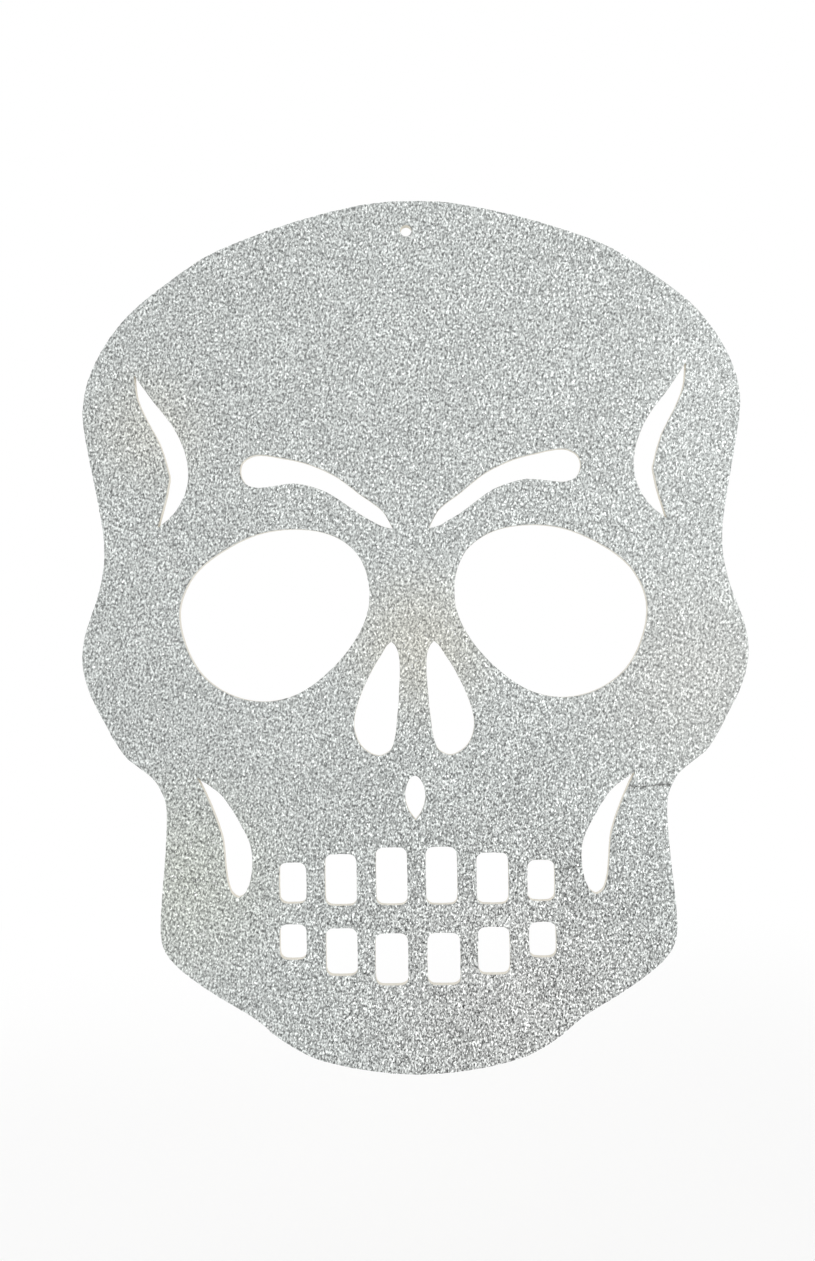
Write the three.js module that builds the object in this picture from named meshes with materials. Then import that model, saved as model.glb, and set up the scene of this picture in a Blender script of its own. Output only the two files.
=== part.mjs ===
// A flat die-cut skull that hangs on a wall or door: silver glitter on paper-faced foam board.
// Every layer is cut through the same outline and openings, so the board is open wherever it is cut.
// Millimetres, +Z up. The front faces -Y. The origin is the centre of the hanging hole, on the back face.
import * as THREE from 'three';

// Overall size of the cut-out
const skullHeight = 380;
const skullWidth = 290;

// The punched hole that the board hangs by
const holeDiameter = 5;
const holeBelowCrown = 12.8;

// Rounding of the corners of the tooth openings
const toothCornerRadius = 3.2;

// Thickness of each layer, and of the bond between one layer and the next
const paperThickness = 0.25;
const foamThickness = 2.4;
const glueThickness = 0.1;
const glitterThickness = 0.4;
const bondThickness = 0.02;

// How finely the curves are cut
const stepsBetweenKnots = 2;
const stepsInACorner = 3;
const stepsRoundTheHole = 20;

// Every pair of shares is [across, up]: the distance from the midline over half the width, and the
// height above the chin over the whole height.

// The outer edge, from the middle of the chin up the right side to the middle of the crown
const outlineShares = [
  [0, 0], [0.16, 0.005], [0.32, 0.02], [0.42, 0.042], [0.49, 0.064], [0.6, 0.09],
  [0.72, 0.123], [0.768, 0.148], [0.774, 0.18], [0.76, 0.24], [0.751, 0.293], [0.756, 0.318],
  [0.79, 0.342], [0.873, 0.368], [0.934, 0.407], [0.98, 0.443], [1, 0.478], [0.987, 0.513],
  [0.953, 0.549], [0.929, 0.59], [0.931, 0.628], [0.951, 0.675], [0.975, 0.725], [0.987, 0.765],
  [0.968, 0.803], [0.92, 0.84], [0.845, 0.876], [0.73, 0.911], [0.6, 0.943], [0.47, 0.963],
  [0.32, 0.981], [0.13, 0.997], [0, 1],
];

// The eye socket, clockwise from the middle of its upper edge
const eyeShares = [
  [0.35, 0.627], [0.46, 0.622], [0.565, 0.604], [0.655, 0.577], [0.701, 0.54], [0.693, 0.503],
  [0.64, 0.462], [0.55, 0.437], [0.445, 0.429], [0.345, 0.438], [0.255, 0.462], [0.18, 0.494],
  [0.134, 0.53], [0.131, 0.568], [0.168, 0.6], [0.245, 0.62],
];

// The nostril, clockwise from its upper end
const nostrilShares = [
  [0.064, 0.496], [0.094, 0.482], [0.133, 0.457], [0.168, 0.426], [0.181, 0.4], [0.161, 0.377],
  [0.11, 0.365], [0.069, 0.373], [0.051, 0.405], [0.043, 0.44], [0.042, 0.48],
];

// The brow runs from its sharp inner tip over the blunt outer end and back
const browShares = [
  [0.054, 0.625], [0.085, 0.646], [0.15, 0.665], [0.225, 0.687], [0.31, 0.702], [0.385, 0.709],
  [0.465, 0.713], [0.504, 0.705], [0.512, 0.693], [0.496, 0.68], [0.455, 0.675], [0.35, 0.679],
  [0.25, 0.668], [0.155, 0.643], [0.085, 0.628],
];

// The hollow of the temple: one list for each curved side, from one sharp corner to the next
const templeShares = [
  [[0.829, 0.808], [0.822, 0.782], [0.794, 0.756], [0.757, 0.729], [0.736, 0.704]],
  [[0.727, 0.689], [0.738, 0.666]],
  [[0.765, 0.631], [0.72, 0.645], [0.686, 0.664], [0.669, 0.688], [0.677, 0.716], [0.714, 0.748],
    [0.768, 0.775]],
];

// The hollow of the cheek runs from its sharp upper tip round the lower end and back
const cheekShares = [
  [0.658, 0.343], [0.638, 0.328], [0.606, 0.299], [0.583, 0.27], [0.576, 0.24], [0.562, 0.212],
  [0.538, 0.204], [0.513, 0.212], [0.496, 0.234], [0.498, 0.263], [0.528, 0.289], [0.588, 0.324],
];

// Half of the leaf under the nose, from its blunt top to its sharp foot
const leafShares = [
  [0, 0.342], [0.018, 0.337], [0.031, 0.32], [0.02, 0.302], [0, 0.291],
];

// The tooth openings on one side, as [inner, outer, bottom, top]
const toothShares = [
  [0.028, 0.122, 0.194, 0.26],
  [0.18, 0.2755, 0.194, 0.253],
  [0.332, 0.4135, 0.197, 0.244],
  [0.029, 0.1275, 0.102, 0.1615],
  [0.181, 0.276, 0.1135, 0.168],
  [0.334, 0.415, 0.1325, 0.173],
];

const halfWidth = skullWidth / 2;
const holeAboveChin = skullHeight - holeBelowCrown;

// Turns a pair of shares into a point of the cut, measured from the hanging hole
function place([across, up]) {
  return new THREE.Vector3(across * halfWidth, up * skullHeight - holeAboveChin, 0);
}

function mirrored(loop) {
  return loop.map((point) => new THREE.Vector3(-point.x, point.y, 0));
}

// Adds the left half to a right half that starts and ends on the midline
function bothHalves(rightShares) {
  const leftShares = rightShares.slice(1, -1).map(([across, up]) => [-across, up]);
  return [...rightShares, ...leftShares.reverse()];
}

// A loop without corners through its knots
function smoothLoop(shares) {
  const curve = new THREE.CatmullRomCurve3(shares.map(place), true);
  return curve.getPoints(shares.length * stepsBetweenKnots).slice(0, -1);
}

// A loop of curved sides with a sharp corner at the first knot of each side
function corneredLoop(sides) {
  return sides.flatMap((side, i) => {
    const nextSide = sides[(i + 1) % sides.length];
    const curve = new THREE.CatmullRomCurve3([...side, nextSide[0]].map(place));
    return curve.getPoints(side.length * stepsBetweenKnots).slice(0, -1);
  });
}

function leafLoop() {
  const full = bothHalves(leafShares);
  const foot = leafShares.length - 1;
  return corneredLoop([[...full.slice(foot), ...full.slice(0, foot)]]);
}

// A tooth opening: a rectangle whose corners are quarter circles
function toothLoop([inner, outer, bottom, top]) {
  const low = place([inner, bottom]);
  const high = place([outer, top]);
  const radius = Math.min(toothCornerRadius, (high.x - low.x) / 2, (high.y - low.y) / 2);
  const arcCentres = [
    [high.x - radius, high.y - radius],
    [low.x + radius, high.y - radius],
    [low.x + radius, low.y + radius],
    [high.x - radius, low.y + radius],
  ];
  return arcCentres.flatMap(([x, y], corner) => {
    const start = (corner * Math.PI) / 2;
    return new THREE.EllipseCurve(x, y, radius, radius, start, start + Math.PI / 2).getPoints(stepsInACorner);
  });
}

function hangingHoleLoop() {
  const radius = holeDiameter / 2;
  return new THREE.EllipseCurve(0, 0, radius, radius).getPoints(stepsRoundTheHole).slice(0, -1);
}

// The cut that all the layers share
function skullShape() {
  const pairedLoops = [
    smoothLoop(eyeShares),
    smoothLoop(nostrilShares),
    corneredLoop([browShares]),
    corneredLoop(templeShares),
    corneredLoop([cheekShares]),
    ...toothShares.map(toothLoop),
  ];
  const openings = [hangingHoleLoop(), leafLoop(), ...pairedLoops, ...pairedLoops.map(mirrored)];
  const shape = new THREE.Shape(smoothLoop(bothHalves(outlineShares)));
  shape.holes = openings.map((loop) => new THREE.Path(loop));
  return shape;
}

// The layers from the back to the front
const layers = [
  { name: 'back_paper', thickness: paperThickness, color: 0xefeadd, roughness: 0.85, metalness: 0 },
  { name: 'foam_core', thickness: foamThickness, color: 0xf4f0e4, roughness: 0.95, metalness: 0 },
  { name: 'front_paper', thickness: paperThickness, color: 0xefeadd, roughness: 0.85, metalness: 0 },
  { name: 'glue_film', thickness: glueThickness, color: 0xd9d8d2, roughness: 0.35, metalness: 0 },
  { name: 'glitter_layer', thickness: glitterThickness, color: 0xc3c6c5, roughness: 0.45, metalness: 0.6 },
];

// One layer, cut from the shared shape and laid with its back a given distance from the board's back
function makeLayer(layer, shape, fromBack) {
  const geometry = new THREE.ExtrudeGeometry(shape, { depth: layer.thickness, bevelEnabled: false });
  geometry.rotateX(Math.PI / 2);
  const material = new THREE.MeshStandardMaterial({
    color: layer.color,
    roughness: layer.roughness,
    metalness: layer.metalness,
  });
  const mesh = new THREE.Mesh(geometry, material);
  mesh.name = layer.name;
  mesh.position.y = -fromBack;
  return mesh;
}

const skull = new THREE.Group();
const cut = skullShape();
let fromBack = 0;
for (const layer of layers) {
  skull.add(makeLayer(layer, cut, fromBack));
  fromBack += layer.thickness + bondThickness;
}

export default skull;
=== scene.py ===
import math

import bpy
import numpy as np
from mathutils import Matrix, Vector
from mathutils.geometry import delaunay_2d_cdt
from mathutils.kdtree import KDTree


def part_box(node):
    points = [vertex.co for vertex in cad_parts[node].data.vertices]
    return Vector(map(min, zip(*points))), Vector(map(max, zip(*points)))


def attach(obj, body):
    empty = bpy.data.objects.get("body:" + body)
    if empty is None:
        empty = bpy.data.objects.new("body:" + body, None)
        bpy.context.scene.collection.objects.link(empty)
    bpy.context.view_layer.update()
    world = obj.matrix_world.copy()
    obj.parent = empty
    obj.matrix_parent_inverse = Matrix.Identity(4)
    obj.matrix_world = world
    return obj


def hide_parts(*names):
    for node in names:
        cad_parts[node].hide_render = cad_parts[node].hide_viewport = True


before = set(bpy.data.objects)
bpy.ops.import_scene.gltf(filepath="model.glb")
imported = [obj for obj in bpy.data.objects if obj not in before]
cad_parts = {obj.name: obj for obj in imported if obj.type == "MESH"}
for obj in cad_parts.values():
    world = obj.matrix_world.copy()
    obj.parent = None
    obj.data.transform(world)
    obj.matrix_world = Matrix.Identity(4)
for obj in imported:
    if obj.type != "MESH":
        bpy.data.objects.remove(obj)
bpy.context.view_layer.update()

# A flat skull cut from foam board, hung by one hole, with silver glitter glued on its front.
# The cut itself is read from the frame. This script rebuilds each layer with its real surface.
# Lengths in the dictionaries are millimetres; meshes are metres, the front faces -Y.

mm = 0.001
print("frame loaded:", len(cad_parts), "layers")

# Camera, where the photograph was taken from
cameraSpot = {
    "across": 8.85,
    "inFront": 453.5,
    "height": -174.4,
    "pitch": 0.02,       # degrees
    "yaw": 1.40,
    "roll": -0.96,
    "frameSide": 36,     # the long side of the frame that the lens is for
    "lens": 29.55,
    "nearest": 10,       # anything nearer isn't drawn
}


def setCamera():
    data = bpy.data.cameras.new("skullCamera")
    data.sensor_width = cameraSpot["frameSide"]
    data.lens = cameraSpot["lens"]
    data.clip_start = cameraSpot["nearest"] * mm
    camera = bpy.data.objects.new("skullCamera", data)
    facing = Matrix.Rotation(math.radians(90), 3, "X")     # level, towards +Y
    for turn, axis in (("roll", "Z"), ("pitch", "X"), ("yaw", "Y")):
        facing = facing @ Matrix.Rotation(math.radians(cameraSpot[turn]), 3, axis)
    spot = Vector((cameraSpot["across"], -cameraSpot["inFront"], cameraSpot["height"])) * mm
    camera.matrix_world = Matrix.Translation(spot) @ facing.to_4x4()
    bpy.context.scene.collection.objects.link(camera)
    bpy.context.scene.camera = camera


setCamera()

# The cut: every edge of the board, read from a layer of the frame
cut = {
    "decimals": 4,        # of a corner's place, so that corners that meet are equal
    "level": 0.001,       # how flat the front face is
    "spacing": 0.55,      # between two points of a smoothed edge
    "tipTurn": 38,        # degrees; an edge that turns by more keeps its sharp tip
    "tipSoftness": 1.2,   # how near a tip the offsets and ripples fade out
    "fill": 2,            # triangles inside the outer edge, none in the openings
    "fillWithin": 1e-6,   # points as near as this are taken as one
}


def readEdges(node):
    # closed loops of (x, z) round the front face, the tallest first; the board is on the left of each
    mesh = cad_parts[node].data
    corner = [tuple(round(c / mm, cut["decimals"]) for c in v.co) for v in mesh.vertices]
    front = min(c[1] for c in corner)
    follows = {}
    for face in mesh.polygons:
        ring = [corner[i] for i in face.vertices]
        if max(c[1] for c in ring) - front > cut["level"]:
            continue
        # a side that two triangles share runs both ways and drops out
        for a, b in zip(ring, ring[1:] + ring[:1]):
            if a in follows.get(b, ()):
                follows[b].remove(a)
            else:
                follows.setdefault(a, set()).add(b)
    loops = []
    for start in [a for a in follows if follows[a]]:
        loop = []
        here = start
        while follows.get(here):
            loop.append((here[0], here[2]))
            here = follows[here].pop()
        if loop:
            loops.append(np.array(loop))
    loops.sort(key=lambda loop: -np.ptp(loop[:, 1]))
    return loops


def smoothEdge(knots):
    # a finer edge through the knots, with its sharp tips kept
    count = len(knots)
    chord = np.roll(knots, -1, 0) - knots
    length = np.linalg.norm(chord, axis=1)
    heading = chord / length[:, None]
    before = np.roll(heading, 1, 0)
    through = np.roll(knots, -1, 0) - np.roll(knots, 1, 0)
    through = through / np.linalg.norm(through, axis=1)[:, None]
    isTip = (heading * before).sum(1) < math.cos(math.radians(cut["tipTurn"]))
    leaving = np.where(isTip[:, None], heading, through)
    arriving = np.where(isTip[:, None], before, through)
    pieces = []
    for i in range(count):
        j = (i + 1) % count
        steps = max(1, round(length[i] / cut["spacing"]))
        t = (np.arange(steps) / steps)[:, None]
        pieces.append(
            (2 * t**3 - 3 * t**2 + 1) * knots[i]
            + (t**3 - 2 * t**2 + t) * length[i] * leaving[i]
            + (3 * t**2 - 2 * t**3) * knots[j]
            + (t**3 - t**2) * length[i] * arriving[j]
        )
    return np.concatenate(pieces), knots[isTip]


def outwardOf(loop):
    # unit steps off the board, square to its edge
    along = np.roll(loop, -1, 0) - np.roll(loop, 1, 0)
    out = np.stack([along[:, 1], -along[:, 0]], 1)
    return out / np.linalg.norm(out, axis=1)[:, None]


knotLoops = readEdges("glitter_layer")
edges, tips = zip(*[smoothEdge(loop) for loop in knotLoops])
tips = np.concatenate(tips)
outward = np.concatenate([outwardOf(loop) for loop in edges])
edgePoints = np.concatenate(edges)
nearTip = np.linalg.norm(edgePoints[:, None] - tips[None], axis=2).min(1)
freeEdge = 1 - np.exp(-((nearTip / cut["tipSoftness"]) ** 2))
loopStart = np.cumsum([0] + [len(loop) for loop in edges])
edgeNext = np.arange(len(edgePoints)) + 1
edgeNext[loopStart[1:] - 1] = loopStart[:-1]
print("cut read:", len(edges), "edges,", len(edgePoints), "points,", len(tips), "sharp tips")


def ripple(seed, size, reach=1):
    # a random offset for each edge point, shared with the points within reach on either side
    draw = np.random.default_rng(seed).normal(0, 1, len(edgePoints))
    result = np.empty_like(draw)
    for first, last in zip(loopStart[:-1], loopStart[1:]):
        part = draw[first:last]
        shared = sum(np.roll(part, k) for k in range(-reach, reach + 1))
        result[first:last] = shared / math.sqrt(2 * reach + 1)
    return result * size * freeEdge


def slowWave(points, seed, length):
    # a smooth random swell between about -1 and 1
    rng = np.random.default_rng(seed)
    waves = 7
    pulls = (0.6, 1.6)     # how many of each wave go into the length
    total = np.zeros(len(points))
    for _ in range(waves):
        turn = rng.uniform(0, 2 * math.pi)
        pull = rng.uniform(*pulls) * 2 * math.pi / length
        along = points[:, 0] * math.cos(turn) + points[:, 1] * math.sin(turn)
        total += np.sin(along * pull + rng.uniform(0, 2 * math.pi))
    return total / (waves / 2)


def edgeOfLayer(offset, depth):
    # one ring of a layer's side: the cut moved outwards by the offset, at a depth along y
    places = edgePoints + outward * (offset * np.ones(len(edgePoints)))[:, None]
    return places, depth * np.ones(len(edgePoints))


def depthsOf(box):
    # y of a layer's back and front
    low, high = box
    return high.y / mm, low.y / mm


def fillBetween(places, inner=None):
    # triangles between the edges, through the inner points too
    points = places if inner is None else np.concatenate([places, inner])
    coords = [Vector(p) for p in points]
    rounds = [list(range(a, b)) for a, b in zip(loopStart[:-1].tolist(), loopStart[1:].tolist())]
    made = delaunay_2d_cdt(coords, [], rounds, cut["fill"], cut["fillWithin"])
    source = [old[0] for old in made[3]]
    return [[source[i] for i in face] for face in made[2]]


def addPiece(name, mesh):
    piece = bpy.data.objects.new(name, mesh)
    bpy.context.scene.collection.objects.link(piece)
    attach(piece, "root")
    return piece


def layerMesh(name, rings, inner=None, innerDepth=None):
    # rings go from the layer's back to its front: (places in mm, y in mm for each point)
    count = len(edgePoints)
    verts = [np.column_stack([places[:, 0], depth, places[:, 1]]) for places, depth in rings]
    if inner is not None:
        verts.append(np.column_stack([inner[:, 0], innerDepth, inner[:, 1]]))
    backFaces = fillBetween(rings[0][0])
    faces = [[a, c, b] for a, b, c in backFaces]
    for ring in range(len(rings) - 1):
        low, high = ring * count, (ring + 1) * count
        faces += [[low + i, low + j, high + j, high + i] for i, j in enumerate(edgeNext.tolist())]
    top = (len(rings) - 1) * count
    faces += [[top + i for i in face] for face in fillBetween(rings[-1][0], inner)]
    mesh = bpy.data.meshes.new(name)
    mesh.from_pydata((np.concatenate(verts) * mm).tolist(), [], faces)
    unwrapLayer(mesh, len(rings), len(backFaces))
    mesh.validate()
    return addPiece(name, mesh)


# How a layer lies on its map: the face that shows fills it, the walls fold out beside their edges,
# and the hidden face is shrunk into the empty corner beside the chin
layerMap = {"margin": 0.012, "hiddenScale": 0.07}


def unwrapLayer(mesh, ringCount, backCount):
    count = len(edgePoints)
    margin = layerMap["margin"]
    co = np.empty(len(mesh.vertices) * 3)
    mesh.vertices.foreach_get("co", co)
    co = co.reshape(-1, 3) / mm
    flat = co[:, [0, 2]]
    face = co[(ringCount - 1) * count :, 1].mean()
    for ring in range(ringCount):
        part = slice(ring * count, (ring + 1) * count)
        flat[part] = edgePoints + outward * np.abs(co[part, 1] - face)[:, None]
    low, high = edgePoints.min(0), edgePoints.max(0)
    span = (flat - low) / (high - low)
    corners = np.empty(len(mesh.loops), int)
    mesh.loops.foreach_get("vertex_index", corners)
    placed = (margin + span * (1 - 2 * margin))[corners]
    hidden = slice(backCount * 3)
    placed[hidden] = margin + span[corners[hidden]] * layerMap["hiddenScale"]
    mesh.uv_layers.new(name="OFBake").data.foreach_set("uv", placed.ravel())


def writeWear(piece, rings, wornAtEdge, worn):
    # how worn the surface is at each point along a crease, for the shaders, which also darken it there
    # as painted shade
    wear = piece.data.attributes.new("wornAndShadedLine", "FLOAT", "POINT")
    wear.data.foreach_set("value", np.concatenate([np.tile(wornAtEdge, len(rings)), worn]))


def dress(piece, material, sharpFrom=38):
    # smooth, but sharp where two faces meet at more than so many degrees
    piece.data.materials.append(material)
    piece.data.shade_smooth()
    piece.data.set_sharp_from_angle(angle=math.radians(sharpFrom))


# Creases, where the board was bent once: each a line across it, from the photograph
creases = [
    {"line": [(93, -242.9), (98, -243.4), (104, -242.9), (109, -242.4), (113, -242.7)], "depth": 0.30},
    {"line": [(60.0, -278.9), (65, -278.2), (71.5, -277.4)], "depth": 0.22},
    {"line": [(-109.5, -279.6), (-101, -281.0), (-92, -282.2), (-84, -283.2)], "depth": 0.10},
]
creaseShape = {
    "deepest": 0.3,
    "halfWidth": 0.34,
    "lip": 0.05,          # how far the board stands up beside the deepest crease
    "lipOffset": 1.0,
    "lipWidth": 0.5,
    "step": 0.35,         # between two points along a crease
    "rows": (-0.8, -0.34, 0, 0.34, 0.8),     # how far beside it each row of points lies
}


def creaseAt(points):
    # (depth in mm, how worn from 0 to 1) of the creases at each (x, z)
    shape = creaseShape
    depth = np.zeros(len(points))
    worn = np.zeros(len(points))
    for crease in creases:
        line = np.array(crease["line"], float)
        away = np.full(len(points), np.inf)
        for a, b in zip(line[:-1], line[1:]):
            ab = b - a
            t = np.clip(((points - a) @ ab) / (ab @ ab), 0, 1)
            away = np.minimum(away, np.linalg.norm(points - a - t[:, None] * ab, axis=1))
        trough = np.exp(-((away / shape["halfWidth"]) ** 2))
        lip = np.exp(-(((away - shape["lipOffset"]) / shape["lipWidth"]) ** 2))
        depth += crease["depth"] * trough - shape["lip"] * lip * crease["depth"] / shape["deepest"]
        worn = np.maximum(worn, trough * crease["depth"] / shape["deepest"])
    return depth, worn


def creaseRows():
    # points along each crease and beside it, so that the mesh can hold it
    rows = []
    for crease in creases:
        line = np.array(crease["line"], float)
        for a, b in zip(line[:-1], line[1:]):
            length = np.linalg.norm(b - a)
            steps = max(2, round(length / creaseShape["step"]))
            along = (b - a) / length
            across = np.array([-along[1], along[0]])
            for t in np.arange(steps) / steps:
                rows += [a + (b - a) * t + across * side for side in creaseShape["rows"]]
    return np.array(rows)


def insideBoard(points):
    # even-odd rule, a band of points at a time
    bandSize = 150
    start, end = edgePoints, edgePoints[edgeNext]
    order = np.argsort(points[:, 1])
    inside = np.zeros(len(points), bool)
    for band in np.array_split(order, max(1, len(points) // bandSize)):
        z = points[band, 1]
        near = (np.minimum(start[:, 1], end[:, 1]) <= z.max()) & (
            np.maximum(start[:, 1], end[:, 1]) >= z.min()
        )
        a, b = start[near], end[near]
        spans = (a[None, :, 1] > z[:, None]) != (b[None, :, 1] > z[:, None])
        rise = np.where(b[:, 1] == a[:, 1], 1, b[:, 1] - a[:, 1])
        at = a[None, :, 0] + (z[:, None] - a[None, :, 1]) / rise * (b - a)[None, :, 0]
        inside[band] = (spans & (at > points[band, 0][:, None])).sum(1) % 2 == 1
    return inside


def clearOf(points, others, least):
    # the points that are farther than the least distance from all the others
    tree = KDTree(len(others))
    for i, other in enumerate(others):
        tree.insert((other[0], other[1], 0), i)
    tree.balance()
    away = np.array([tree.find((p[0], p[1], 0))[2] for p in points])
    return points[away > least]


def lattice(across, up):
    # rows of points over the whole board, every other one moved over by half a step
    low, high = edgePoints.min(0), edgePoints.max(0)
    x, z = np.meshgrid(np.arange(low[0], high[0], across), np.arange(low[1], high[1], up))
    x[1::2] += across / 2
    return x, z


def boardPoints(x, z, clearance):
    # those of the points that lie on the board, clear of its edges and of the creases, and then the
    # creases' own rows
    pointsToEdge, rowsToEdge, pointsToRows = clearance
    grid = np.stack([x.ravel(), z.ravel()], 1)
    grid = clearOf(grid[insideBoard(grid)], edgePoints, pointsToEdge)
    rows = creaseRows()
    rows = clearOf(rows[insideBoard(rows)], edgePoints, rowsToEdge)
    return np.concatenate([clearOf(grid, rows, pointsToRows), rows])


# Glitter bed: a rough crust of flakes that covers the whole front
glitterBed = {
    "pitchAcross": 0.86,
    "pitchUp": 1.22,
    "scatter": 0.36,          # of the pitch
    "clearance": (0.5, 0.3, 0.45),     # points to edges, crease rows to edges, points to rows
    "thickness": 0.36,
    "limits": (0.06, 0.68),   # of its thickness
    "roughness": 0.13,        # how far a flake stands above or below its neighbours
    "mostRough": 2,           # no flake stands out by more than this many times that
    "swell": 0.03,
    "swellLength": 9,
    "rimThickness": 0.22,
    "rimLimits": (0.08, 0.5),
    "rimUneven": 0.06,        # along the cut, in height
    "rimRagged": 0.07,        # and outwards
    "rimFoot": 0.02,          # how far in it starts on the glue
    "rimBulge": 0.45,         # at this share of its height it is widest
    "rimTop": 0.10,           # and this far its top draws in
    "rimCrease": 0.6,         # the share of a crease that shows in it
    "seed": 1031,
    "swellSeed": 5,
    "rimSeeds": (11, 12),
}


def makeGlitterBed():
    back, _ = depthsOf(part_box("glitter_layer"))
    shape = glitterBed
    rng = np.random.default_rng(shape["seed"])
    x, z = lattice(shape["pitchAcross"], shape["pitchUp"] * math.sqrt(3) / 2)
    x += rng.uniform(-1, 1, x.shape) * shape["pitchAcross"] * shape["scatter"]
    z += rng.uniform(-1, 1, z.shape) * shape["pitchUp"] * shape["scatter"]
    inner = boardPoints(x, z, shape["clearance"])
    rng = np.random.default_rng(shape["seed"] + 1)
    most = shape["mostRough"]
    stand = rng.normal(0, 1, len(inner)).clip(-most, most) * shape["roughness"]
    stand += slowWave(inner, shape["swellSeed"], shape["swellLength"]) * shape["swell"]
    dip, worn = creaseAt(inner)
    depth = back - (shape["thickness"] + stand - dip).clip(*shape["limits"])
    ragSeed, unevenSeed = shape["rimSeeds"]
    rag = ripple(ragSeed, shape["rimRagged"])
    rim = shape["rimThickness"] + np.abs(ripple(unevenSeed, shape["rimUneven"]))
    dipAtEdge, wornAtEdge = creaseAt(edgePoints)
    rim = (rim - dipAtEdge * shape["rimCrease"]).clip(*shape["rimLimits"])
    rings = [
        edgeOfLayer(-shape["rimFoot"], back),
        edgeOfLayer(rag, back - rim * shape["rimBulge"]),
        edgeOfLayer(rag - shape["rimTop"] * freeEdge, back - rim),
    ]
    bed = layerMesh("glitterBed", rings, inner, depth)
    writeWear(bed, rings, wornAtEdge * shape["rimCrease"], worn)
    bed.data.materials.append(silverGlitter())
    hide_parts("glitter_layer")
    print("glitter bed:", len(bed.data.polygons), "faces")
    return inner, depth, worn


# Loose flakes: larger hexagons that lie on the bed at all angles and catch the light
looseFlakes = {
    "count": 6500,
    "radius": (0.24, 0.46),
    "cornerReach": (0.86, 1.1),   # of the radius
    "cornerWander": 0.09,         # radians
    "upright": 1.15,              # how much taller than wide
    "thickness": 0.05,
    "lift": 0.04,                 # of the middle above the bed
    "leastTilt": 4,               # degrees
    "tilt": 24,                   # at most for nearly all
    "steepTilt": 50,              # and for a few
    "steepShare": 0.1,
    "wornLimit": 0.15,            # none where a crease has worn the bed by more
    "seed": 77,
}


def makeLooseFlakes(bedPlaces, bedDepth, worn):
    shape = looseFlakes
    rng = np.random.default_rng(shape["seed"])
    free = np.flatnonzero(worn < shape["wornLimit"])
    verts, faces, tonesAndGlints = [], [], []
    for k in rng.choice(free, shape["count"], replace=False):
        radius = rng.uniform(*shape["radius"])
        steep = shape["steepTilt"] if rng.random() < shape["steepShare"] else shape["tilt"]
        lean = math.radians(rng.uniform(shape["leastTilt"], steep))
        turn = rng.uniform(0, 2 * math.pi)
        spin = rng.uniform(0, math.pi / 3)
        angle = spin + np.arange(6) * math.pi / 3 + rng.normal(0, shape["cornerWander"], 6)
        reach = radius * rng.uniform(*shape["cornerReach"], 6)
        u, w = np.cos(angle) * reach, np.sin(angle) * reach * shape["upright"]
        rise = (u * math.cos(turn) + w * math.sin(turn)) * math.tan(lean)
        x, z = bedPlaces[k, 0] + u, bedPlaces[k, 1] + w
        low = bedDepth[k] - shape["lift"] - rise
        first = len(verts)
        verts += list(zip(x, low, z)) + list(zip(x, low - shape["thickness"], z))
        faces += [[first + 5 - i for i in range(6)], [first + 6 + i for i in range(6)]]
        for i in range(6):
            j = (i + 1) % 6
            faces.append([first + i, first + j, first + 6 + j, first + 6 + i])
        # a tone for each flake, part painted glint
        tonesAndGlints += [rng.random()] * 8     # front, back and six sides
    mesh = bpy.data.meshes.new("looseFlakes")
    mesh.from_pydata((np.array(verts) * mm).tolist(), [], faces)
    unwrapFlakes(mesh)
    tone = mesh.attributes.new("flakeToneAndGlint", "FLOAT", "FACE")
    tone.data.foreach_set("value", tonesAndGlints)
    mesh.materials.append(looseFlakeFoil())
    piece = addPiece("looseFlakes", mesh)
    print("loose flakes:", shape["count"])


# Each flake has a cell of the map: its front in the middle, its rim round that, its back in a corner
flakeMap = {"front": 0.36, "rim": 0.43, "back": 0.07, "backPlace": 0.88}


def unwrapFlakes(mesh):
    def place(i, radius, middle=0.5):
        angle = i * math.pi / 3
        return middle + math.cos(angle) * radius, middle + math.sin(angle) * radius

    front, rim = flakeMap["front"], flakeMap["rim"]
    pattern = [place(5 - i, flakeMap["back"], flakeMap["backPlace"]) for i in range(6)]
    pattern += [place(i, front) for i in range(6)]
    for i in range(6):
        pattern += [place(i, rim), place(i + 1, rim), place(i + 1, front), place(i, front)]
    count = looseFlakes["count"]
    perRow = math.ceil(math.sqrt(count))
    cells = np.stack(np.divmod(np.arange(count), perRow), 1)
    uv = (cells[:, None] + np.array(pattern)[None]) / perRow
    mesh.uv_layers.new(name="OFBake").data.foreach_set("uv", uv.ravel())


# Glue film: the clear coat under the glitter, with small beads where it crept past the cut
glueFilm = {
    "creep": 0.06,
    "beadReach": 9,       # points of the edge that a bead takes up on either side of its middle
    "frontShare": 0.6,    # how much of a bead is left at the front
    "seed": 21,
}


def makeGlueFilm():
    back, front = depthsOf(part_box("glue_film"))
    bead = np.abs(ripple(glueFilm["seed"], glueFilm["creep"], glueFilm["beadReach"]))
    rings = [
        edgeOfLayer(0.0, back),
        edgeOfLayer(bead, back * 0.5 + front * 0.5),
        edgeOfLayer(bead * glueFilm["frontShare"], front),
    ]
    film = layerMesh("glueFilm", rings)
    dress(film, clearGlue())
    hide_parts("glue_film")
    print("glue film:", len(film.data.polygons), "faces")


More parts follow.
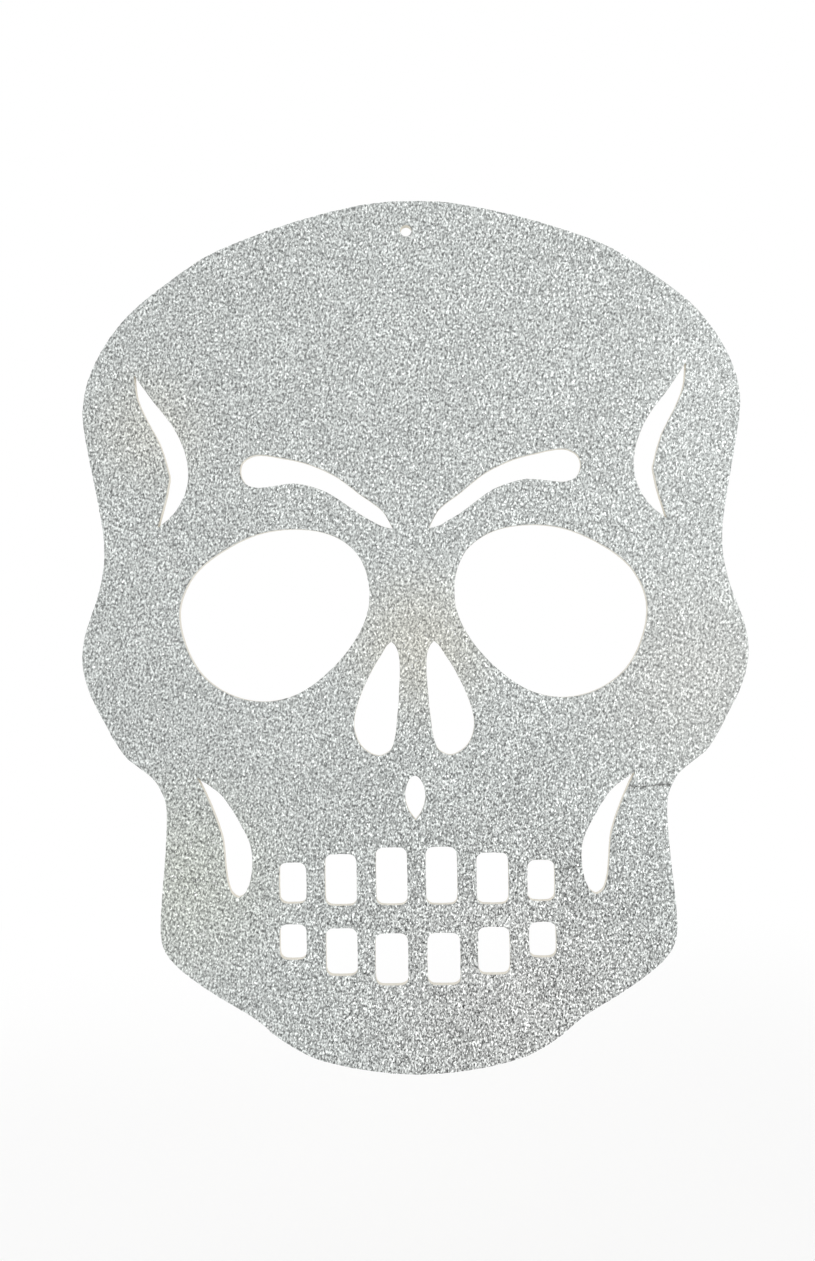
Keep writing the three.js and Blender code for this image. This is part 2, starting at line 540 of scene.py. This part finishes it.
# Papers: liner sheets whose edges the die pressed round on the front and burred on the back
paperSheet = {
    "frontFray": 0.018,
    "frontSide": [(0.05, 0.35), (0.02, 0.75)],     # how far out, at which share of the thickness
    "lipRound": 0.09,
    "backFray": 0.02,
    "backFoot": 0.01,     # how far in the sheet starts on the foam
    "backBulge": 0.03,
    "burr": 0.05,         # how far out the rim of the back stands
    "burrUnder": 0.01,    # and how far below the back it does
    "burrTop": [(0.06, 0.012), (0.22, -0.005)],    # how far in, how far above the back
    "swell": 0.035,       # how far the back paper waves in and out
    "swellLength": 26,
    "backPitch": 5.5,
    "clearance": (1.2, 0.4, 1.0),     # as for the glitter bed
    "dent": 0.35,         # the share of a crease that shows on the back
    "seeds": (31, 41),
    "swellSeed": 8,
}


def makeFrontPaper():
    back, front = depthsOf(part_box("front_paper"))
    fray = ripple(paperSheet["seeds"][0], paperSheet["frontFray"])
    rings = [edgeOfLayer(0.0, back)]
    for out, up in paperSheet["frontSide"]:
        rings.append(edgeOfLayer(out + fray, back * (1 - up) + front * up))
    rings.append(edgeOfLayer(-paperSheet["lipRound"] * freeEdge, front))
    sheet = layerMesh("frontPaper", rings)
    dress(sheet, linerPaper())
    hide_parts("front_paper")
    print("front paper:", len(sheet.data.polygons), "faces")


def makeBackPaper():
    # the board's back: the paper swells a little between its glue spots and shows each crease
    back, front = depthsOf(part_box("back_paper"))
    fray = ripple(paperSheet["seeds"][1], paperSheet["backFray"])
    x, z = lattice(paperSheet["backPitch"], paperSheet["backPitch"])
    grid = boardPoints(x, z, paperSheet["clearance"])
    dent, worn = creaseAt(grid)
    swell = slowWave(grid, paperSheet["swellSeed"], paperSheet["swellLength"]) * paperSheet["swell"]
    # this sheet is made front to back, then turned, so that its shown face is the back one
    rings = [
        edgeOfLayer(-paperSheet["backFoot"], front),
        edgeOfLayer(paperSheet["backBulge"] + fray, front * 0.5 + back * 0.5),
        edgeOfLayer(paperSheet["burr"] * freeEdge + fray, back - paperSheet["burrUnder"]),
    ]
    rings += [edgeOfLayer(-inwards * freeEdge, back + above) for inwards, above in paperSheet["burrTop"]]
    sheet = layerMesh("backPaper", rings, grid, back + swell - dent * paperSheet["dent"])
    sheet.data.flip_normals()
    writeWear(sheet, rings, creaseAt(edgePoints)[1], worn)
    dress(sheet, linerPaper())
    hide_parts("back_paper")
    print("back paper:", len(sheet.data.polygons), "faces")


# Foam core: fine-celled foam that the die squeezed in a little between the papers
foamCore = {
    "squeeze": 0.16,
    "waist": 0.8,         # the lower, the flatter the squeezed part is in its middle
    "cellDepth": 0.045,
    "leastCells": 0.3,    # their depth beside the papers, against that in the middle
    "rows": 8,
    "sharpFrom": 60,
    "seed": 51,
}


def makeFoamCore():
    back, front = depthsOf(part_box("foam_core"))
    least = foamCore["leastCells"]
    rings = []
    for row in range(foamCore["rows"] + 1):
        t = row / foamCore["rows"]
        waist = math.sin(math.pi * t) ** foamCore["waist"]
        pits = ripple(foamCore["seed"] + row, foamCore["cellDepth"]) * (least + (1 - least) * waist)
        offset = -foamCore["squeeze"] * waist * freeEdge + pits
        rings.append(edgeOfLayer(offset, back + (front - back) * t))
    core = layerMesh("foamCore", rings)
    dress(core, boardFoam(), foamCore["sharpFrom"])
    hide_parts("foam_core")
    print("foam core:", len(core.data.polygons), "faces")


# Shader nodes
def newMaterial(name):
    material = bpy.data.materials.new(name)
    material.use_nodes = True
    tree = material.node_tree
    return material, tree, tree.nodes["Principled BSDF"]


def fill(tree, node, inputs):
    # a socket is linked, anything else is set
    for key, value in inputs.items():
        if isinstance(value, bpy.types.NodeSocket):
            tree.links.new(value, node.inputs[key])
        else:
            node.inputs[key].default_value = value


def add(tree, kind, inputs=None, **settings):
    made = tree.nodes.new(kind)
    for key, value in settings.items():
        setattr(made, key, value)
    fill(tree, made, inputs or {})
    return made


def ramp(tree, factor, stops):
    # stops are (place, grey or colour)
    made = add(tree, "ShaderNodeValToRGB", {"Fac": factor})
    elements = made.color_ramp.elements
    while len(elements) < len(stops):
        elements.new(0.5)
    for element, (place, tone) in zip(elements, stops):
        element.position = place
        element.color = (*tone, 1) if isinstance(tone, tuple) else (tone, tone, tone, 1)
    return made.outputs["Color"]


def calc(tree, operation, a, b=0.0):
    return add(tree, "ShaderNodeMath", {0: a, 1: b}, operation=operation).outputs[0]


def mapRange(tree, value, result, source=(0.0, 1.0), kind="LINEAR"):
    inputs = {"Value": value, "From Min": source[0], "From Max": source[1]}
    inputs.update({"To Min": result[0], "To Max": result[1]})
    return add(tree, "ShaderNodeMapRange", inputs, interpolation_type=kind).outputs[0]


def mixColour(tree, blend, factor, a, b):
    made = add(tree, "ShaderNodeMix", {0: factor}, data_type="RGBA", blend_type=blend)
    for key, value in (("A_Color", a), ("B_Color", b)):
        socket = next(s for s in made.inputs if s.identifier == key)
        if isinstance(value, bpy.types.NodeSocket):
            tree.links.new(value, socket)
        else:
            socket.default_value = (*value, 1)
    return next(s for s in made.outputs if s.identifier == "Result_Color")


def objectPlace(tree):
    return add(tree, "ShaderNodeTexCoord").outputs["Object"]


def painted(tree, name):
    # a value that the mesh carries
    return add(tree, "ShaderNodeAttribute", attribute_name=name).outputs["Fac"]


def scaled(tree, size, turn=0):
    # object coordinates in cells of one size or (x, y, z), turned in the plane of the board
    cell = size if isinstance(size, tuple) else (size, size, size)
    inputs = {
        "Vector": objectPlace(tree),
        "Rotation": (0, math.radians(turn), 0),
        "Scale": [side * mm for side in cell],
    }
    return add(tree, "ShaderNodeMapping", inputs, vector_type="TEXTURE").outputs[0]


def noise(tree, size, turn=0, **inputs):
    inputs = {"Vector": scaled(tree, size, turn), "Scale": 1.0, **inputs}
    return add(tree, "ShaderNodeTexNoise", inputs).outputs["Fac"]


def cellular(tree, size):
    # a pattern of cells, and three random numbers for each
    pattern = add(tree, "ShaderNodeTexVoronoi", {"Vector": scaled(tree, size), "Scale": 1.0}).outputs
    return pattern, add(tree, "ShaderNodeSeparateColor", {"Color": pattern["Color"]}).outputs


def bump(tree, height, strength, distance):
    inputs = {"Height": height, "Strength": strength, "Distance": distance * mm}
    return add(tree, "ShaderNodeBump", inputs).outputs[0]


def spots(tree, places):
    # for each (x, z, radius, amount): a mask that is 1 in its middle and fades out, and the amount
    masks = []
    for x, z, radius, amount in places:
        inputs = {0: objectPlace(tree), 1: (x * mm, 0, z * mm)}
        away = add(tree, "ShaderNodeVectorMath", inputs, operation="DISTANCE").outputs["Value"]
        masks.append((mapRange(tree, away, (1.0, 0.0), (0.0, radius * mm), "SMOOTHSTEP"), amount))
    return masks


# Silver glitter: each cell of the pattern is one flake with its own tilt and polish, and a tone that is
# part its own and part painted glint; spots of painted light and shade lie over it all
glitterFinish = {
    "cell": (0.36, 0.7, 0.7),
    # each flake's tone, dark to bright: part its own, part painted glint
    "tonesAndGlints": [(0.0, 0.0), (0.16, 0.19), (0.5, 0.46), (0.84, 0.758), (1.0, 0.85)],
    "calm": 0.5,              # how far the flakes' tones draw together
    "calmTone": 0.484,
    # x, z, radius, more or less calm than the rest
    "calmSpots": [
        (49, -355, 190, -0.42),
        (145, -55, 75, 0.15),
        (138, -185, 105, 0.2),
        (2, -172, 46, 0.07),
        (-135, -110, 130, -0.07),
    ],
    # fine grain over the tones, where flakes crowd and shade one another: the same all through
    "grain": (0.95, 1000, 1.25),
    "grainTurn": 17,
    "grainGain": 2.12,
    "grainLimits": (0.25, 0.66),
    # x, z, radius, how far tones and grain fade where the light is strongest
    "evenSpots": [
        (140, -30, 110, 0.15),
        (146, -140, 105, 0.14),
        (118, -235, 90, 0.13),
        (0, -165, 70, 0.09),
    ],
    "driftSize": 34,
    "drift": [(0.3, 0.974), (0.7, 1.028)],
    # x, z, radius, brightness against the rest: painted light and shade, brighter at the crown, the left
    # temple, the right rim, the left jaw and the chin, darker on the left cheek, the lip and beside the
    # right teeth
    "paintedLightAndShade": [
        (0, 15, 120, 1.03),
        (-125, -10, 80, 1.02),
        (142, -70, 60, 1.05),
        (-122, -215, 60, 0.96),
        (-5, -240, 72, 0.96),
        (62, -268, 50, 0.935),
        (-80, -325, 80, 1.062),
        (10, -365, 70, 1.045),
    ],
    "silver": (0.96, 1.0, 0.983),
    # x, z, radius, tint
    "tints": [
        (3, -180, 45, (1.0, 1.0, 0.922)),
        (-102, -280, 60, (0.957, 1.0, 0.93)),
        (-113, -84, 36, (0.985, 1.0, 0.945)),
        (120, -195, 64, (0.98, 1.0, 0.97)),
        (40, -335, 95, (0.985, 1.0, 0.982)),
    ],
    # the colour of painted shade and wear along the creases
    "bareAndShaded": (0.16, 0.155, 0.15),
    "patchSize": 2.2,         # of the patches of painted shade and wear along a crease
    "patches": [(0.4, 0.4), (0.6, 0.86)],
    "tilt": 0.55,             # how far a flake leans, at most
    "roughness": (0.34, 0.58),
    "metallic": 0.85,
}


def silverGlitter():
    material, tree, shader = newMaterial("silverGlitter")
    finish = glitterFinish
    plain = (finish["calmTone"],) * 3
    flake, dice = cellular(tree, finish["cell"])
    # painted glint: each flake darker or brighter at random
    tone = ramp(tree, dice[0], finish["tonesAndGlints"])
    calm = finish["calm"]
    for mask, amount in spots(tree, finish["calmSpots"]):
        calm = calc(tree, "ADD", calc(tree, "MULTIPLY", mask, amount), calm)
    tone = mixColour(tree, "MIX", calm, tone, plain)
    fine = noise(tree, finish["grain"], finish["grainTurn"], Detail=0.0)
    gains = [1 + (limit - 0.5) * finish["grainGain"] for limit in finish["grainLimits"]]
    tone = mixColour(tree, "MULTIPLY", 1.0, tone, mapRange(tree, fine, gains, finish["grainLimits"]))
    for mask, amount in spots(tree, finish["evenSpots"]):
        tone = mixColour(tree, "MIX", calc(tree, "MULTIPLY", mask, amount), tone, plain)
    level = ramp(tree, noise(tree, finish["driftSize"], Detail=3.0), finish["drift"])
    # painted light and shade, a spot at a time
    for mask, shade in spots(tree, finish["paintedLightAndShade"]):
        part = calc(tree, "MULTIPLY", mask, shade - 1)
        level = calc(tree, "MULTIPLY", level, calc(tree, "ADD", part, 1.0))
    tone = mixColour(tree, "MULTIPLY", 1.0, tone, level)
    hue = finish["silver"]
    for mask, tint in spots(tree, finish["tints"]):
        hue = mixColour(tree, "MIX", mask, hue, tint)
    colour = mixColour(tree, "MULTIPLY", 1.0, tone, hue)
    # painted shade and wear, in patches along the creases
    patchy = ramp(tree, noise(tree, finish["patchSize"]), finish["patches"])
    worn = calc(tree, "MULTIPLY", painted(tree, "wornAndShadedLine"), patchy)
    colour = mixColour(tree, "MIX", worn, colour, finish["bareAndShaded"])
    # each flake's own tilt
    side = add(tree, "ShaderNodeVectorMath", {0: flake["Color"], 1: (-0.5, -0.5, -0.5)})
    inputs = {0: side.outputs[0], "Scale": finish["tilt"]}
    lean = add(tree, "ShaderNodeVectorMath", inputs, operation="SCALE")
    facing = add(tree, "ShaderNodeNewGeometry").outputs["Normal"]
    tilted = add(tree, "ShaderNodeVectorMath", {0: facing, 1: lean.outputs[0]})
    normal = add(tree, "ShaderNodeVectorMath", {0: tilted.outputs[0]}, operation="NORMALIZE")
    fill(tree, shader, {
        "Base Color": colour,
        "Normal": normal.outputs[0],
        "Roughness": mapRange(tree, dice[1], finish["roughness"]),
        "Metallic": finish["metallic"],
    })
    return material


# Loose flakes' foil: from dull to bright, part its own tone and part painted glint, each with a few
# scuffs
foilFinish = {
    "tonesAndGlints": [(0.0, (0.22, 0.225, 0.22)), (0.45, (0.6, 0.61, 0.6)), (1.0, (0.9, 0.91, 0.9))],
    "scuffSize": 0.3,
    "scuffs": [(0.35, 0.7), (0.65, 1.0)],
    "scuffed": 0.5,       # how much of them shows
    "roughness": (0.2, 0.42),
    "metallic": 0.95,
}


def looseFlakeFoil():
    material, tree, shader = newMaterial("looseFlakeFoil")
    finish = foilFinish
    # painted glint: each flake's tone from dull to bright
    colour = ramp(tree, painted(tree, "flakeToneAndGlint"), finish["tonesAndGlints"])
    scuff = noise(tree, finish["scuffSize"])
    scuffed = ramp(tree, scuff, finish["scuffs"])
    fill(tree, shader, {
        "Base Color": mixColour(tree, "MULTIPLY", finish["scuffed"], colour, scuffed),
        "Roughness": mapRange(tree, scuff, finish["roughness"]),
        "Metallic": finish["metallic"],
    })
    return material


# Liner paper: uncoated, a little yellowed, with fibres, faint clouds and a few darker flecks
paperFinish = {
    "colour": (0.84, 0.81, 0.73),
    "cloud": (0.79, 0.75, 0.66),
    "cloudSize": 38,
    "clouds": [(0.35, 0.0), (0.7, 0.8)],
    "fibreSize": (0.34, 0.34, 1.5),
    "fibreTurns": (38, -27, 84),
    "fibres": [(0.4, 0.93), (0.58, 1.0)],
    "fleck": (0.52, 0.45, 0.34),
    "fleckSize": 3.1,
    "fleckRarity": 0.88,  # the share of cells without one
    "fleckReach": (0.02, 0.085),     # in cells
    "fleckStrength": 0.6,
    "worn": 0.5,          # how dark a crease is, against a fleck: painted shade and wear
    "roughness": (0.72, 0.94),
    "bump": (0.35, 0.06),     # strength, height
}


def linerPaper():
    made = bpy.data.materials.get("linerPaper")
    if made:
        return made
    material, tree, shader = newMaterial("linerPaper")
    finish = paperFinish
    clouds = noise(tree, finish["cloudSize"], Detail=5.0, Roughness=0.6)
    fibre = 0.0
    for turn in finish["fibreTurns"]:
        strand = noise(tree, finish["fibreSize"], turn, Detail=2.0, Distortion=0.9)
        share = calc(tree, "MULTIPLY", strand, 1 / len(finish["fibreTurns"]))
        fibre = calc(tree, "ADD", share, fibre)
    fleck, dice = cellular(tree, finish["fleckSize"])
    rare = calc(tree, "GREATER_THAN", dice[0], finish["fleckRarity"])
    small = calc(tree, "LESS_THAN", fleck["Distance"], mapRange(tree, dice[1], finish["fleckReach"]))
    flecked = calc(tree, "MULTIPLY", calc(tree, "MULTIPLY", rare, small), finish["fleckStrength"])
    clouded = ramp(tree, clouds, finish["clouds"])
    colour = mixColour(tree, "MIX", clouded, finish["colour"], finish["cloud"])
    colour = mixColour(tree, "MULTIPLY", 1.0, colour, ramp(tree, fibre, finish["fibres"]))
    colour = mixColour(tree, "MIX", flecked, colour, finish["fleck"])
    # painted shade and wear along the creases
    worn = calc(tree, "MULTIPLY", painted(tree, "wornAndShadedLine"), finish["worn"])
    fill(tree, shader, {
        "Base Color": mixColour(tree, "MIX", worn, colour, finish["fleck"]),
        "Roughness": mapRange(tree, fibre, finish["roughness"]),
        "Normal": bump(tree, fibre, *finish["bump"]),
    })
    return material


# Board foam: matt, with closed cells about a third of a millimetre wide, each with painted shade in its
# hollow
foamFinish = {
    "colour": (0.87, 0.84, 0.76),
    "shade": (0.62, 0.58, 0.5),
    "cell": 0.32,
    "shaded": [(0.0, 0.0), (1.0, 0.35)],
    "hollowShade": [(0.0, 0.86), (0.5, 1.0)],
    "roughness": (0.98, 0.8),
    "bump": (0.6, 0.1),     # strength, height
}


def boardFoam():
    material, tree, shader = newMaterial("boardFoam")
    finish = foamFinish
    cells, dice = cellular(tree, finish["cell"])
    wall = cells["Distance"]
    shaded = ramp(tree, dice[0], finish["shaded"])
    colour = mixColour(tree, "MIX", shaded, finish["colour"], finish["shade"])
    fill(tree, shader, {
        # painted shade, darkest in the middle of each cell's hollow
        "Base Color": mixColour(tree, "MULTIPLY", 1.0, colour, ramp(tree, wall, finish["hollowShade"])),
        "Roughness": mapRange(tree, wall, finish["roughness"]),
        "Normal": bump(tree, wall, *finish["bump"]),
    })
    return material


# Clear glue: dried a little milky
glueFinish = {
    "milkSize": 1.6,
    "milk": [(0.3, (0.62, 0.62, 0.58)), (0.7, (0.78, 0.78, 0.74))],
    "roughness": (0.12, 0.4),
    "refraction": 1.47,
}


def clearGlue():
    material, tree, shader = newMaterial("clearGlue")
    milk = noise(tree, glueFinish["milkSize"], Detail=4.0)
    fill(tree, shader, {
        "Base Color": ramp(tree, milk, glueFinish["milk"]),
        "Roughness": mapRange(tree, milk, glueFinish["roughness"]),
        "IOR": glueFinish["refraction"],
    })
    return material


makeFoamCore()
makeBackPaper()
makeFrontPaper()
makeGlueFilm()
makeLooseFlakes(*makeGlitterBed())

# Studio: pale floor under the hanging skull, white surroundings and soft lamps
studio = {
    "floorBelowChin": 120,
    "floorRadius": 1600,
    "floorSides": 96,
    "floorColour": (0.95, 0.95, 0.95),
    "floorRoughness": 0.9,
    "floorPlain": 260,       # the floor keeps its own shade this far out, then fades to white
    "floorWhite": 800,       # and is all white from here on
    "floorBright": 0.5,      # how white it already is in the middle, to the camera
    "skyForSurfaces": 0.62,
    "lamps": [
        # name, place, aimed at, size, power
        ("keyLamp", (1000, -1100, -150), (0, 0, -180), 1500, 10.0),
        ("fillLamp", (-850, -1100, -380), (0, 0, -180), 1400, 4.6),
        ("backLamp", (-450, 1250, 350), (0, 0, -180), 1400, 8.0),
        ("topLamp", (0, -120, 1200), (0, 0, -480), 1200, 2.6),
    ],
}


def seenDirectly(tree, byCamera=1.0):
    # 1 for what a mirror or glass sees, byCamera for what the camera sees, 0 for the rest
    path = add(tree, "ShaderNodeLightPath").outputs
    seen = calc(tree, "MULTIPLY", path["Is Camera Ray"], byCamera)
    seen = calc(tree, "MAXIMUM", seen, path["Is Glossy Ray"])
    return calc(tree, "MAXIMUM", seen, path["Is Transmission Ray"])


def whiteSurroundings():
    world = bpy.data.worlds.new("studioWorld")
    bpy.context.scene.world = world
    world.use_nodes = True
    tree = world.node_tree
    plain = tree.nodes["Background"]
    fill(tree, plain, {"Color": (1, 1, 1, 1), "Strength": studio["skyForSurfaces"]})
    white = add(tree, "ShaderNodeBackground", {"Color": (1, 1, 1, 1), "Strength": 1.0})
    inputs = {0: seenDirectly(tree), 1: plain.outputs[0], 2: white.outputs[0]}
    both = add(tree, "ShaderNodeMixShader", inputs)
    fill(tree, tree.nodes["World Output"], {"Surface": both.outputs[0]})


def paleFloor():
    mesh = bpy.data.meshes.new("paleFloor")
    sides = studio["floorSides"]
    radius = studio["floorRadius"] * mm
    around = [2 * math.pi * i / sides for i in range(sides)]
    corners = [(radius * math.cos(a), radius * math.sin(a), 0) for a in around]
    mesh.from_pydata(corners, [], [range(sides)])
    floor = bpy.data.objects.new("paleFloor", mesh)
    floor.location.z = (knotLoops[0][:, 1].min() - studio["floorBelowChin"]) * mm
    bpy.context.scene.collection.objects.link(floor)
    material, tree, shader = newMaterial("paleFloor")
    plain = {"Base Color": (*studio["floorColour"], 1), "Roughness": studio["floorRoughness"]}
    fill(tree, shader, plain)
    away = add(tree, "ShaderNodeVectorMath", {0: objectPlace(tree)}, operation="LENGTH").outputs["Value"]
    reach = (studio["floorPlain"] * mm, studio["floorWhite"] * mm)
    fade = mapRange(tree, away, (studio["floorBright"], 1.0), reach, "SMOOTHSTEP")
    white = add(tree, "ShaderNodeEmission", {"Color": (1, 1, 1, 1), "Strength": 1.0})
    inputs = {0: seenDirectly(tree, fade), 1: shader.outputs[0], 2: white.outputs[0]}
    both = add(tree, "ShaderNodeMixShader", inputs)
    fill(tree, tree.nodes["Material Output"], {"Surface": both.outputs[0]})
    mesh.materials.append(material)


def hangLamps():
    for name, place, target, size, power in studio["lamps"]:
        data = bpy.data.lights.new(name, "AREA")
        data.shape = "DISK"
        data.size = size * mm
        data.energy = power
        lamp = bpy.data.objects.new(name, data)
        lamp.location = Vector(place) * mm
        aim = Vector(target) * mm - lamp.location
        lamp.rotation_mode = "QUATERNION"
        lamp.rotation_quaternion = aim.to_track_quat("-Z", "Y")
        lamp.visible_camera = False
        bpy.context.scene.collection.objects.link(lamp)


whiteSurroundings()
paleFloor()
hangLamps()
bpy.context.scene.view_settings.view_transform = "Standard"
print("studio ready")
